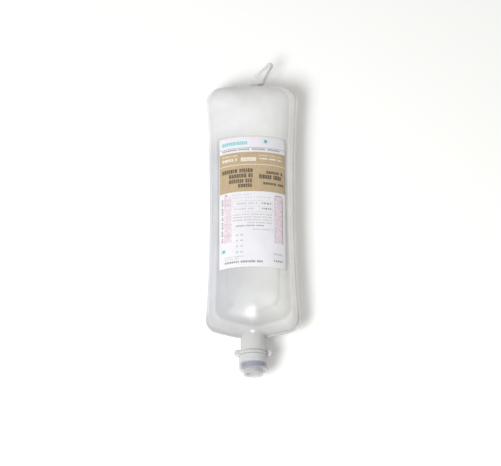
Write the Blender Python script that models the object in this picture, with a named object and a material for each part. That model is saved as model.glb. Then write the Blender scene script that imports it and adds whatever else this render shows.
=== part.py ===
"""A flat, translucent infusion container of about half a litre, lying on its back.

Lengths are metres. X runs across the container, Y along it from the port to the hanging strap,
and Z up through its thickness. The origin lies on the table, under the middle of the whole part.
"""

import math

import bmesh
import bpy

# The blown body, seen from above
BODY_LENGTH = 0.2275
CORNER_HALF_WIDTH = 0.0386
WAIST_HALF_WIDTH = 0.0343
WAIST_POWER = 2.3
TOP_CORNER_RADIUS = 0.0120
BOTTOM_CORNER_RADIUS = 0.0102
TOP_CROWN = 0.0036
SHOULDER_DROP = 0.0078
SHOULDER_POWER = 1.45
DIP_DEPTH = 0.0014
DIP_CENTRE = -0.0050
DIP_WIDTH = 0.0060

# Its thickness, either side of the parting plane
SEAM_HEIGHT = 0.0220
FRONT_RISE = 0.0250
BACK_RISE = 0.0240
SECTION_POWER = 2.1
END_TAPER = 0.34
END_ROUNDING = 1.03
END_ROUNDING_POWER = 3.2
WALL = 0.0008
FLASH_WIDTH = 0.0017
FLASH_THICKNESS = 0.0012

# The neck and what stands on it
NECK_RADIUS = 0.0103
NECK_WALL = 0.0013
NECK_LENGTH = 0.0116
ROOT_RADIUS = 0.0080
ROOT_START = 0.0025
ROOT_TURN_DEGREES = 50
NECK_FORM_DEPTH = 0.0045
BORE_DEPTH = 0.0060
SWELL_LENGTH = 0.0240
SWELL_WIDTH = 0.0145
SWELL_SHARE = 0.92
SWELL_START = 0.0040
SWELL_POWER = 3
SUPPORT_RADIUS = 0.0117
SUPPORT_LENGTH = 0.0022
WING_HALF_SPAN = 0.0156
WING_LENGTH = 0.0056
WING_THICKNESS = 0.0034
SPIGOT_LENGTH = 0.0023

# The cap, its mouth ring and the rubber disc
CAP_RADIUS = 0.0119
CAP_LENGTH = 0.0114
CAP_EDGE = 0.0008
CAP_SKIRT_WALL = 0.0016
CAP_END_WALL = 0.0018
MOUTH_RADIUS = 0.0079
MOUTH_LENGTH = 0.0040
MOUTH_LIP = 0.0003
PORT_RADIUS = 0.0056
RUBBER_CHAMFER = 0.0006

# The hanging strap
STRAP_WIDTH = 0.0022
STRAP_THICKNESS = 0.0014
STRAP_EDGE = 0.0003
STRAP_REACH = 0.0199
STRAP_BASE_WIDTH = 0.0102
STRAP_TIP_WIDTH = 0.0040
STRAP_LEAN = 0.0110
STRAP_LEAN_POWER = 1.25
STRAP_TAPER_POWER = 1.5
STRAP_CENTRE = 0.0046

# The label and the filling
LABEL_HALF_WIDTH = 0.0277
LABEL_LENGTH = 0.1175
LABEL_OFFSET = -0.0029
LABEL_THICKNESS = 0.0003
AIR_DEPTH = 0.0046

# Between neighbours
GAP = 0.0003

# How finely curves are cut
TOP_STEPS = 7
CORNER_STEPS = 5
SIDE_STEPS = 11
SHOULDER_STEPS = 6
RING_ANGLES = (0, 8, 17, 27, 38, 50, 62, 73, 84)
NEAREST_RING = 0.97
TURNED_SEGMENTS = 32
ARC_STEPS = 4
STRAP_STEPS = 7
TIP_STEPS = 6
LABEL_COLUMNS = 14
LABEL_ROWS = 12

# Stations along Y, worked out from the lengths above
NECK_PARTS = NECK_LENGTH + WING_LENGTH
STRAP_AXIS_OFFSET = GAP + STRAP_WIDTH / 2
TOTAL_LENGTH = (
    MOUTH_LENGTH + CAP_LENGTH + GAP + NECK_PARTS + BODY_LENGTH + FLASH_WIDTH
    + STRAP_AXIS_OFFSET + STRAP_REACH + STRAP_WIDTH / 2
)
MOUTH_END = -TOTAL_LENGTH / 2
CAP_END = MOUTH_END + MOUTH_LENGTH
CAP_SEAT = CAP_END + CAP_LENGTH
SUPPORT_FACE = CAP_SEAT + GAP
NECK_ROOT = SUPPORT_FACE + NECK_PARTS
BODY_TOP = NECK_ROOT + BODY_LENGTH
BODY_MIDDLE = (NECK_ROOT + BODY_TOP) / 2
CAP_BORE = CAP_RADIUS - CAP_SKIRT_WALL
SPIGOT_RADIUS = CAP_BORE - GAP
SPIGOT_END = SUPPORT_FACE - GAP - SPIGOT_LENGTH
RUBBER_TOP = SPIGOT_END - GAP
RUBBER_FACE = CAP_END + CAP_END_WALL + GAP


def clear_scene():
    for old in list(bpy.data.objects):
        bpy.data.objects.remove(old, do_unlink=True)


def plastic(name, colour, roughness, alpha=1.0):
    """A plain material; see-through where alpha is under 1."""
    material = bpy.data.materials.new(name)
    material.use_nodes = True
    shader = material.node_tree.nodes["Principled BSDF"]
    shader.inputs["Base Color"].default_value = (*colour, 1)
    shader.inputs["Roughness"].default_value = roughness
    shader.inputs["Metallic"].default_value = 0.0
    shader.inputs["Alpha"].default_value = alpha
    return material


def new_object(name, mesh_data, material):
    """Turns a bmesh into a scene object with outward normals."""
    bmesh.ops.recalc_face_normals(mesh_data, faces=mesh_data.faces)
    mesh = bpy.data.meshes.new(name)
    mesh_data.to_mesh(mesh)
    mesh_data.free()
    mesh.shade_smooth()
    mesh.set_sharp_from_angle(angle=math.radians(35))
    if material:
        mesh.materials.append(material)
    made = bpy.data.objects.new(name, mesh)
    bpy.context.collection.objects.link(made)
    return made


def combine(target, helper, operation):
    """Joins or cuts target with a helper, which is then only a guide."""
    modifier = target.modifiers.new(helper.name, "BOOLEAN")
    modifier.operation = operation
    modifier.solver = "EXACT"
    modifier.object = helper
    helper.display_type = "WIRE"
    helper.hide_render = True


# Plan of the body


def half_width(y):
    """Half the body's width, drawn in at the waist."""
    share = abs(y - BODY_MIDDLE) / (BODY_LENGTH / 2)
    return WAIST_HALF_WIDTH + (CORNER_HALF_WIDTH - WAIST_HALF_WIDTH) * share**WAIST_POWER


def top_edge(x):
    """The strap end, gently crowned, with a shallow dip beside the strap."""
    crown = TOP_CROWN * (x / CORNER_HALF_WIDTH) ** 2
    dip = DIP_DEPTH * math.exp(-(((x - DIP_CENTRE) / DIP_WIDTH) ** 2))
    return BODY_TOP - crown - dip


def bottom_edge(x):
    """The neck end, sloping to the neck like a shoulder."""
    return NECK_ROOT + SHOULDER_DROP * (abs(x) / CORNER_HALF_WIDTH) ** SHOULDER_POWER


def between(low, high, steps):
    return [low + (high - low) * i / steps for i in range(steps + 1)]


def corner_arc(x, y, across, along, radius, steps):
    """A quarter arc that rounds the corner at (x, y), from the end edge to the side."""
    centre_x = x - across * radius
    centre_y = y - along * radius
    angles = between(math.pi / 2, 0, steps)
    return [
        (centre_x + across * radius * math.cos(a), centre_y + along * radius * math.sin(a))
        for a in angles
    ]


def sheared_corner(edge, across, along, radius):
    """The rounded corner, with its start moved on to the sloping end edge."""
    y_start = edge(across * (CORNER_HALF_WIDTH - radius))
    side = half_width(y_start - along * radius)
    points = corner_arc(across * side, y_start, across, along, radius, CORNER_STEPS)
    return points[1:-1]


def half_outline(across):
    """One side of the body's outline, from the middle of the top to the middle of the bottom."""
    top_run = between(0, CORNER_HALF_WIDTH - TOP_CORNER_RADIUS, TOP_STEPS)
    bottom_run = between(CORNER_HALF_WIDTH - BOTTOM_CORNER_RADIUS, 0, SHOULDER_STEPS)
    top = [(across * x, top_edge(across * x)) for x in top_run]
    bottom = [(across * x, bottom_edge(x)) for x in bottom_run]
    side_top = top[-1][1] - TOP_CORNER_RADIUS
    side_bottom = bottom[0][1] + BOTTOM_CORNER_RADIUS
    side = [(across * half_width(y), y) for y in between(side_top, side_bottom, SIDE_STEPS)]
    upper = sheared_corner(top_edge, across, 1, TOP_CORNER_RADIUS)
    lower = sheared_corner(bottom_edge, across, -1, BOTTOM_CORNER_RADIUS)
    return top + upper + side + lower[::-1] + bottom


def body_outline():
    """The whole outline, closed, going round from the middle of the top by the +X side."""
    right = half_outline(1)
    left = half_outline(-1)
    return right + left[::-1][1:-1]


def offset_outline(points, inward):
    """The outline moved in by a distance, or out where it is negative."""
    moved = []
    for i, (x, y) in enumerate(points):
        before = points[i - 1]
        after = points[(i + 1) % len(points)]
        run = (after[0] - before[0], after[1] - before[1])
        length = math.hypot(*run)
        moved.append((x + inward * run[1] / length, y - inward * run[0] / length))
    return moved


# Thickness of the body


def rise_at(angle, rise):
    """Height above the parting plane and plan share left, at an angle round the section."""
    power = 2 / SECTION_POWER
    return rise * math.sin(angle) ** power, max(math.cos(angle), 0) ** power


def across_scale(y, share):
    """How far a ring is drawn in across, at a y of the outline, where share of the width is
    left. Inner rings turn from the outline's square ends to an oval, so the ends are domed."""
    reach = min(abs(y - BODY_MIDDLE) / (END_ROUNDING * BODY_LENGTH / 2), 1)
    oval = (1 - reach**END_ROUNDING_POWER) ** (1 / END_ROUNDING_POWER)
    return share * (share + (1 - share) * oval)


def along_scale(share):
    return 1 - END_TAPER * (1 - share)


def front_height(x, y, rise):
    """Height of the front wall above the parting plane over a point of the plan."""
    low, high = 0, 1
    for _ in range(30):
        share = (low + high) / 2
        outline_y = BODY_MIDDLE + (y - BODY_MIDDLE) / along_scale(share)
        reached = half_width(outline_y) * across_scale(outline_y, share)
        low, high = (share, high) if reached < abs(x) else (low, share)
    return rise * (1 - share**SECTION_POWER) ** (1 / SECTION_POWER)


def ring_points(outline, share, height, sign, inset):
    along = along_scale(share)
    plan = [(x * across_scale(y, share), BODY_MIDDLE + (y - BODY_MIDDLE) * along)
            for x, y in outline]
    return [(x, y, SEAM_HEIGHT + sign * swollen(x, y, height, inset)) for x, y in plan]


def swollen(x, y, height, inset):
    """Height of a half over (x, y), swollen where the shoulder runs into the neck."""
    reach = max((y - NECK_ROOT) / SWELL_LENGTH, 0)
    if reach >= 1 or height <= 0:
        return height
    crest = (SWELL_SHARE * NECK_RADIUS - inset) * min(1, height / SWELL_START)
    swell = crest * math.exp(-((x / SWELL_WIDTH) ** 2)) * (1 - reach**2) ** 2
    return (height**SWELL_POWER + swell**SWELL_POWER) ** (1 / SWELL_POWER)


def flat_angle(rise, height):
    """The angle round the section at which it reaches a height, where it is cut flat."""
    return math.asin(min(height / rise, 1) ** (SECTION_POWER / 2))


def pillow(name, inset, front_level, material=None):
    """A closed flat oval form inset from the body's surface, cut flat at the back and at
    front_level above the parting plane."""
    outline = offset_outline(body_outline(), inset)
    front = FRONT_RISE - inset
    back = BACK_RISE - inset
    bottom = SEAM_HEIGHT - inset
    stops = (flat_angle(front, front_level), flat_angle(back, bottom))
    rings = []
    for rise, stop, sign in ((front, stops[0], 1), (back, stops[1], -1)):
        angles = [math.radians(a) for a in RING_ANGLES if math.radians(a) < stop * NEAREST_RING]
        half = []
        for angle in [*angles, min(stop, math.radians(RING_ANGLES[-1]))]:
            height, share = rise_at(angle, rise)
            half.append(ring_points(outline, share, height, sign, inset))
        rings = half[::-1] if sign == 1 else rings + half[1:]
    shape = bmesh.new()
    loops = [[shape.verts.new(point) for point in ring] for ring in rings]
    for upper, lower in zip(loops, loops[1:]):
        for i in range(len(outline)):
            j = (i + 1) % len(outline)
            shape.faces.new((upper[i], upper[j], lower[j], lower[i]))
    shape.faces.new(loops[0])
    shape.faces.new(loops[-1])
    return new_object(name, shape, material)


def plate(name, outline, thickness, material=None):
    """A flat plate of an outline, half its thickness either side of the parting plane."""
    shape = bmesh.new()
    low = [shape.verts.new((x, y, SEAM_HEIGHT - thickness / 2)) for x, y in outline]
    face = shape.faces.new(low)
    raised = bmesh.ops.extrude_face_region(shape, geom=[face])["geom"]
    top = [part for part in raised if isinstance(part, bmesh.types.BMVert)]
    bmesh.ops.translate(shape, verts=top, vec=(0, 0, thickness))
    return new_object(name, shape, material)


def turned(name, profile, material=None):
    """A solid turned about the neck's axis from (radius, y) pairs, closed on themselves or on
    the axis."""
    shape = bmesh.new()
    points = [shape.verts.new((radius, y, SEAM_HEIGHT)) for radius, y in profile]
    edges = [shape.edges.new(pair) for pair in zip(points, points[1:])]
    if profile[0][0] > 0:
        edges.append(shape.edges.new((points[-1], points[0])))
    bmesh.ops.spin(
        shape,
        geom=points + edges,
        cent=(0, 0, SEAM_HEIGHT),
        axis=(0, 1, 0),
        angle=math.tau,
        steps=TURNED_SEGMENTS,
    )
    bmesh.ops.remove_doubles(shape, verts=shape.verts, dist=1e-6)
    return new_object(name, shape, material)


# The pieces


def root_flare(radius):
    """The arc by which a neck surface of this radius widens into the body."""
    centre = NECK_RADIUS + ROOT_RADIUS
    sweep = centre - radius
    return [
        (centre - sweep * math.cos(a), NECK_ROOT - ROOT_START + sweep * math.sin(a))
        for a in between(0, math.radians(ROOT_TURN_DEGREES), ARC_STEPS)
    ]


def buried_flare(radius, depth):
    """The flare and the end that closes it, depth beyond the neck's root."""
    flare = root_flare(radius)
    return [*flare, (flare[-1][0], NECK_ROOT + depth), (0, NECK_ROOT + depth)]


def neck_solid():
    """The neck with its flared root, support ring and the spigot that enters the cap."""
    support_top = SUPPORT_FACE + SUPPORT_LENGTH
    profile = [
        (0, SPIGOT_END),
        (SPIGOT_RADIUS, SPIGOT_END),
        (SPIGOT_RADIUS, SUPPORT_FACE),
        (SUPPORT_RADIUS, SUPPORT_FACE),
        (SUPPORT_RADIUS, support_top),
        (NECK_RADIUS, support_top + SUPPORT_RADIUS - NECK_RADIUS),
        *buried_flare(NECK_RADIUS, NECK_FORM_DEPTH),
    ]
    return turned("neck_form", profile)


def wing_plate():
    """The pair of grip wings, one rounded bar that crosses the neck in the parting plane."""
    radius = WING_LENGTH / 2
    middle = SUPPORT_FACE + radius
    tip = WING_HALF_SPAN - radius
    right = [(tip + radius * math.cos(a), middle + radius * math.sin(a))
             for a in between(-math.pi / 2, math.pi / 2, 8)]
    left = [(-x, y) for x, y in right[::-1]]
    wings = plate("wing_form", right + left, WING_THICKNESS)
    rounding = wings.modifiers.new("rounded_edges", "BEVEL")
    rounding.width = WING_THICKNESS / 4
    rounding.segments = 2
    rounding.limit_method = "ANGLE"
    rounding.angle_limit = math.radians(60)
    return wings


def container(material):
    """The blown shell: an oval body with flash and neck, hollowed through the neck."""
    shell = pillow("container", 0, FRONT_RISE, material)
    outline = offset_outline(body_outline(), -FLASH_WIDTH)
    combine(shell, plate("flash_form", outline, FLASH_THICKNESS), "UNION")
    combine(shell, neck_solid(), "UNION")
    combine(shell, wing_plate(), "UNION")
    combine(shell, pillow("cavity_form", WALL, FRONT_RISE - WALL), "DIFFERENCE")
    bore = NECK_RADIUS - NECK_WALL
    past_end = SPIGOT_END - WALL
    profile = [(0, past_end), (bore, past_end), *buried_flare(bore, BORE_DEPTH)]
    combine(shell, turned("bore_form", profile), "DIFFERENCE")
    return shell


def fluid(material):
    """The filling: the cavity less a gap, level under the air bubble, and on down the neck."""
    level = FRONT_RISE - WALL - AIR_DEPTH
    filling = pillow("fluid", WALL + GAP, level, material)
    radius = NECK_RADIUS - NECK_WALL - GAP
    end = RUBBER_TOP + GAP
    profile = [(0, end), (radius, end), *buried_flare(radius, BORE_DEPTH)]
    combine(filling, turned("neck_filling_form", profile), "UNION")
    return filling


def port_cap(material):
    """The cap: a skirt over the spigot, an end wall and the mouth ring round the port."""
    wall_face = CAP_END + CAP_END_WALL
    edge = [
        (CAP_RADIUS - CAP_EDGE * (1 - math.cos(a)), CAP_END + CAP_EDGE * (1 - math.sin(a)))
        for a in between(0, math.pi / 2, ARC_STEPS)
    ]
    bead = [
        (MOUTH_RADIUS + MOUTH_LIP * math.sin(a), MOUTH_END + MOUTH_LIP * (1 + math.cos(a)))
        for a in between(0, math.pi, ARC_STEPS)
    ]
    profile = [
        (CAP_BORE, CAP_SEAT),
        (CAP_RADIUS, CAP_SEAT),
        *edge,
        (MOUTH_RADIUS, CAP_END),
        *bead,
        (PORT_RADIUS + MOUTH_LIP, MOUTH_END),
        (PORT_RADIUS, MOUTH_END + MOUTH_LIP),
        (PORT_RADIUS, wall_face),
        (CAP_BORE, wall_face),
    ]
    return turned("port_cap", profile, material)


def rubber_stopper(material):
    """The rubber disc between the spigot and the cap's end wall."""
    radius = CAP_BORE - GAP
    profile = [
        (0, RUBBER_FACE),
        (radius - RUBBER_CHAMFER, RUBBER_FACE),
        (radius, RUBBER_FACE + RUBBER_CHAMFER),
        (radius, RUBBER_TOP - RUBBER_CHAMFER),
        (radius - RUBBER_CHAMFER, RUBBER_TOP),
        (0, RUBBER_TOP),
    ]
    return turned("rubber_stopper", profile, material)


def strap_path():
    """The strap's centre line, a closed loop that leans to +X, with its root on y = 0."""
    half_base = STRAP_BASE_WIDTH / 2
    half_tip = STRAP_TIP_WIDTH / 2
    corner = STRAP_WIDTH / 2
    tip_y = STRAP_REACH - half_tip

    def side(sign, share):
        drift = STRAP_LEAN * share**STRAP_LEAN_POWER
        spread = half_base + (half_tip - half_base) * share**STRAP_TAPER_POWER
        return sign * spread + drift, corner + (tip_y - corner) * share

    root = [(x, 0) for x in between(-half_base + corner, half_base - corner, 3)]
    right = [side(1, share) for share in between(0, 1, STRAP_STEPS)]
    left = [side(-1, share) for share in between(1, 0, STRAP_STEPS)]
    tip = [(STRAP_LEAN + half_tip * math.cos(a), tip_y + half_tip * math.sin(a))
           for a in between(0, math.pi, TIP_STEPS)][1:-1]
    return root + right + tip + left


def hanger_loop(material):
    """The strap on its root line, whose axis is the hinge."""
    path = strap_path()
    shape = bmesh.new()
    stations = []
    for (outer_x, outer_y), (inner_x, inner_y) in zip(
        offset_outline(path, STRAP_WIDTH / 2), offset_outline(path, -STRAP_WIDTH / 2)
    ):
        half = STRAP_THICKNESS / 2
        corners = [(outer_x, outer_y, half), (inner_x, inner_y, half),
                   (inner_x, inner_y, -half), (outer_x, outer_y, -half)]
        stations.append([shape.verts.new(corner) for corner in corners])
    for i, here in enumerate(stations):
        after = stations[(i + 1) % len(stations)]
        for j in range(4):
            k = (j + 1) % 4
            shape.faces.new((here[j], here[k], after[k], after[j]))
    strap = new_object("hanger_loop", shape, material)
    rounding = strap.modifiers.new("rounded_edges", "BEVEL")
    rounding.width = STRAP_EDGE
    rounding.segments = 1
    rounding.limit_method = "ANGLE"
    rounding.angle_limit = math.radians(60)
    strap.location = (STRAP_CENTRE, BODY_TOP + FLASH_WIDTH + STRAP_AXIS_OFFSET, SEAM_HEIGHT)
    return strap


def label(material):
    """A thin sheet that follows the front wall a gap above it."""
    shape = bmesh.new()
    middle = BODY_MIDDLE + LABEL_OFFSET
    columns = between(-LABEL_HALF_WIDTH, LABEL_HALF_WIDTH, LABEL_COLUMNS)
    rows = between(middle - LABEL_LENGTH / 2, middle + LABEL_LENGTH / 2, LABEL_ROWS)
    grid = []
    for y in rows:
        line = [(x, y, SEAM_HEIGHT + GAP + front_height(x, y, FRONT_RISE)) for x in columns]
        grid.append([shape.verts.new(point) for point in line])
    for lower, upper in zip(grid, grid[1:]):
        for i in range(LABEL_COLUMNS):
            shape.faces.new((lower[i], lower[i + 1], upper[i + 1], upper[i]))
    sheet = new_object("label", shape, material)
    thickness = sheet.modifiers.new("paper", "SOLIDIFY")
    thickness.thickness = LABEL_THICKNESS
    thickness.offset = 1
    return sheet


def build():
    clear_scene()
    polyethylene = plastic("clear_polyethylene", (0.86, 0.87, 0.89), 0.35, 0.45)
    cap_plastic = plastic("cap_polyethylene", (0.80, 0.81, 0.80), 0.4, 0.7)
    rubber = plastic("grey_rubber", (0.42, 0.44, 0.48), 0.7)
    saline = plastic("saline", (0.80, 0.82, 0.83), 0.05, 0.5)
    paper = plastic("label_paper", (0.90, 0.89, 0.93), 0.5)
    container(polyethylene)
    hanger_loop(polyethylene)
    port_cap(cap_plastic)
    rubber_stopper(rubber)
    fluid(saline)
    label(paper)


build()
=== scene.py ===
"""Dresses the infusion container for its picture.

Lengths are metres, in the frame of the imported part: X runs across the container, Y along it from
the port to the hanging strap, and Z up from the table it lies on.
"""

import math
import random

import bmesh
import bpy
from mathutils import Matrix, Vector


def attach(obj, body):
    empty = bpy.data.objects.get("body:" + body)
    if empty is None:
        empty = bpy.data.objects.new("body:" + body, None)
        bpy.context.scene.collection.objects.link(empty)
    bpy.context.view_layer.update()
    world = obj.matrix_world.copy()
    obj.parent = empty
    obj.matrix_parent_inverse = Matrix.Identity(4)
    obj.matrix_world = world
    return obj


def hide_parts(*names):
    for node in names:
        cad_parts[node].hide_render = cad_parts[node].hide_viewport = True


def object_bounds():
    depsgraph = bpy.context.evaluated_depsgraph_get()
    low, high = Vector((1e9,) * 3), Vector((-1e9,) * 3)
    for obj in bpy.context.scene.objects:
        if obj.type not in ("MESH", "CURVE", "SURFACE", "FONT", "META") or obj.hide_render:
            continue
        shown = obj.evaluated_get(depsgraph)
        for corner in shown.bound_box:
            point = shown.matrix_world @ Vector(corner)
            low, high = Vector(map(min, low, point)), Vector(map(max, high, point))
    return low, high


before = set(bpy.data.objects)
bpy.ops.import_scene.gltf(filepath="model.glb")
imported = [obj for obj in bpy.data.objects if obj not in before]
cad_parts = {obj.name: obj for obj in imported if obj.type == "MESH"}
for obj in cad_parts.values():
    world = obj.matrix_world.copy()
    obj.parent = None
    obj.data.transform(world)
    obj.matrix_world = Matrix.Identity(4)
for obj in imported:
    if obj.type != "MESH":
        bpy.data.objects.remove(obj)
cad_low, cad_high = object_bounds()

# The blown body, seen from above
BODY_LENGTH = 0.2275
CORNER_HALF_WIDTH = 0.0386
WAIST_HALF_WIDTH = 0.0343
WAIST_POWER = 2.3
TOP_CORNER_RADIUS = 0.0120
BOTTOM_CORNER_RADIUS = 0.0102
TOP_CROWN = 0.0036
SHOULDER_DROP = 0.0078
SHOULDER_POWER = 1.45
SHOULDER_SOFTNESS = 0.0060
DIP_DEPTH = 0.0014
DIP_CENTRE = -0.0050
DIP_WIDTH = 0.0060
DIP_FADE_POWER = 8

# Its thickness, either side of the parting plane
SEAM_HEIGHT = 0.0220
FRONT_RISE = 0.0250
BACK_RISE = 0.0240
SECTION_POWER = 2.1
END_TAPER = 0.34
END_ROUNDING = 1.03
END_ROUNDING_POWER = 3.2
WALL = 0.0008
FLASH_WIDTH = 0.0017
FLASH_THICKNESS = 0.0012

# The neck and what stands on it
NECK_RADIUS = 0.0103
NECK_WALL = 0.0013
NECK_LENGTH = 0.0116
ROOT_RADIUS = 0.0080
ROOT_START = 0.0025
ROOT_TURN_DEGREES = 50
NECK_FORM_DEPTH = 0.0045
BORE_DEPTH = 0.0060
SWELL_LENGTH = 0.0240
SWELL_WIDTH = 0.0145
SWELL_SHARE = 0.92
SWELL_START = 0.0040
SWELL_POWER = 3
SUPPORT_RADIUS = 0.0117
SUPPORT_LENGTH = 0.0022
WING_HALF_SPAN = 0.0156
WING_LENGTH = 0.0056
WING_THICKNESS = 0.0034
SPIGOT_LENGTH = 0.0023

# The cap, its mouth ring and the rubber disc
CAP_RADIUS = 0.0119
CAP_LENGTH = 0.0114
CAP_EDGE = 0.0008
CAP_SKIRT_WALL = 0.0016
CAP_END_WALL = 0.0018
MOUTH_RADIUS = 0.0079
MOUTH_LENGTH = 0.0040
MOUTH_LIP = 0.0003
PORT_RADIUS = 0.0056
RUBBER_CHAMFER = 0.0006

# The hanging strap
STRAP_WIDTH = 0.0022
STRAP_THICKNESS = 0.0014
STRAP_ROUNDING = 0.8
STRAP_REACH = 0.0199
STRAP_BASE_WIDTH = 0.0102
STRAP_TIP_WIDTH = 0.0040
STRAP_LEAN = 0.0110
STRAP_LEAN_POWER = 1.25
STRAP_TAPER_POWER = 1.5
STRAP_CENTRE = 0.0046

# The label and the filling
LABEL_HALF_WIDTH = 0.0277
LABEL_LENGTH = 0.1175
LABEL_OFFSET = -0.0029
LABEL_THICKNESS = 0.0003
AIR_DEPTH = 0.0046
MENISCUS = 0.0008
MENISCUS_RUN = 3
BUBBLE_HEIGHT = 0.0202
GAP = 0.0003

# How finely curves are cut
TOP_STEPS = 30
CORNER_STEPS = 14
SIDE_STEPS = 64
SHOULDER_STEPS = 26
RING_STEPS = 26
LAST_RING_DEGREES = 84
NEAREST_RING = 0.985
TURNED_SEGMENTS = 96
ARC_STEPS = 10
SMALL_ARC_STEPS = 4
CHAMFER_STEPS = 5
CAP_ARC_STEPS = 6
MENISCUS_STEPS = 5
HEIGHT_HALVINGS = 26
STRAP_STEPS = 30
LABEL_STEP = 0.0012

# Stations along Y, counted from the mouth ring's face
MOUTH_END = cad_low.y
CAP_END = MOUTH_END + MOUTH_LENGTH
CAP_SEAT = CAP_END + CAP_LENGTH
SUPPORT_FACE = CAP_SEAT + GAP
NECK_ROOT = SUPPORT_FACE + NECK_LENGTH + WING_LENGTH
BODY_TOP = NECK_ROOT + BODY_LENGTH
BODY_MIDDLE = (NECK_ROOT + BODY_TOP) / 2
CAP_BORE = CAP_RADIUS - CAP_SKIRT_WALL
SPIGOT_RADIUS = CAP_BORE - GAP
SPIGOT_END = SUPPORT_FACE - GAP - SPIGOT_LENGTH
RUBBER_TOP = SPIGOT_END - GAP
RUBBER_FACE = CAP_END + CAP_END_WALL + GAP
STRAP_AXIS = BODY_TOP + FLASH_WIDTH + GAP + STRAP_WIDTH / 2
LABEL_MIDDLE = BODY_MIDDLE + LABEL_OFFSET
LABEL_TOP = LABEL_MIDDLE + LABEL_LENGTH / 2


# Node materials

# The part of a noise's output that tones and densities are spread over
CLOUD_SPAN = (0.3, 0.7)
MOTTLE_SPAN = (0.35, 0.65)

# Where the shell changes, as spans off the parting plane, across and along
FLANK_SPAN = (0.0148, 0.0122)
# The next two spans across paint light on the shell, lighter towards its right side
FLANK_LIGHT_ACROSS = (-0.02, 0.034)
PAINTED_LIGHT_ACROSS = (-0.034, 0.030)
UPPER_SPAN = (0.045, 0.075)
# Over this span along, the neck end of the shell is painted in shade
NECK_END_SHADE_SPAN = (-0.082, -0.108)
NECK_SPAN = (-0.106, -0.112)
FLASH_EDGE = (0.0010, 0.0007)
# Over this span along, the flash is painted in shade near the neck end
FLASH_SHADE_SPAN = (-0.088, -0.102)
# These spans place a painted line of shade along the bubble's edge, stronger on the right
CONTOUR_EDGE = (0.0009, 0.0002)
CONTOUR_ACROSS = (-0.02, 0.02)
CONTOUR_SPAN = (0.02, -0.02)

# Where the cap changes, as spans from its end face and above the neck's axis
SKIRT_SPAN = (0.0040, 0.0054)
MOUTH_SPAN = (0.0003, -0.0003)
MOUTH_TONE_SPAN = (-0.0001, -0.0004)
BAND_SPAN = (0.0051, 0.0043)
BAND_ABOVE = (0.0045, 0.0065)
CAP_BELOW = (0.0066, 0.0046)

# Where the strap goes over from its left tone to the painted shade of its right strand, and where the
# painted shade under the liquid's level ends
STRAP_SHADE_LEAN = 0.55
STRAP_SHADE_SPAN = (-0.001, 0.002)
LEVEL_SHADE_SPAN = (-0.0003, -0.0001)


def new_material(name):
    material = bpy.data.materials.new(name)
    material.use_nodes = True
    tree = material.node_tree
    return material, tree, tree.nodes["Principled BSDF"]


def add_node(tree, kind, **settings):
    node = tree.nodes.new("ShaderNode" + kind)
    for name, value in settings.items():
        setattr(node, name, value)
    return node


def object_position(tree):
    return add_node(tree, "TexCoord").outputs["Object"]


def axes_of(tree, position):
    """The X, Y and Z outputs of a position."""
    parts = add_node(tree, "SeparateXYZ")
    tree.links.new(position, parts.inputs[0])
    return parts.outputs


def noise_value(tree, position, scale, detail=2.0, roughness=0.5):
    noise = add_node(tree, "TexNoise")
    noise.inputs["Scale"].default_value = scale
    noise.inputs["Detail"].default_value = detail
    noise.inputs["Roughness"].default_value = roughness
    tree.links.new(position, noise.inputs["Vector"])
    return noise.outputs["Fac"]


def ranged(tree, value, span, result):
    """value carried from one span to another, with soft ends."""
    node = add_node(tree, "MapRange", interpolation_type="SMOOTHSTEP")
    for name, number in zip(("From Min", "From Max", "To Min", "To Max"), (*span, *result)):
        node.inputs[name].default_value = number
    tree.links.new(value, node.inputs["Value"])
    return node.outputs["Result"]


def moved(span, by):
    return tuple(by + end for end in span)


def math_value(tree, operation, first, second=None):
    """The result of a sum on numbers or outputs."""
    node = add_node(tree, "Math", operation=operation)
    for socket, value in zip(node.inputs, (first, second)):
        if value is None:
            continue
        if isinstance(value, (int, float)):
            socket.default_value = value
        else:
            tree.links.new(value, socket)
    return node.outputs[0]


def mixed_colour(tree, factor, first, second):
    """A colour between two, each an (r, g, b) or an output."""
    node = add_node(tree, "Mix", data_type="RGBA")
    tree.links.new(factor, node.inputs["Factor"])
    for name, value in (("A", first), ("B", second)):
        socket = [s for s in node.inputs if s.name == name and s.type == "RGBA"][0]
        if isinstance(value, tuple):
            socket.default_value = (*value, 1)
        else:
            tree.links.new(value, socket)
    return [s for s in node.outputs if s.type == "RGBA"][0]


def add_bump(tree, shader, height, distance):
    bump = add_node(tree, "Bump")
    bump.inputs["Distance"].default_value = distance
    bump.inputs["Strength"].default_value = 1.0
    tree.links.new(height, bump.inputs["Height"])
    tree.links.new(bump.outputs["Normal"], shader.inputs["Normal"])


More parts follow.
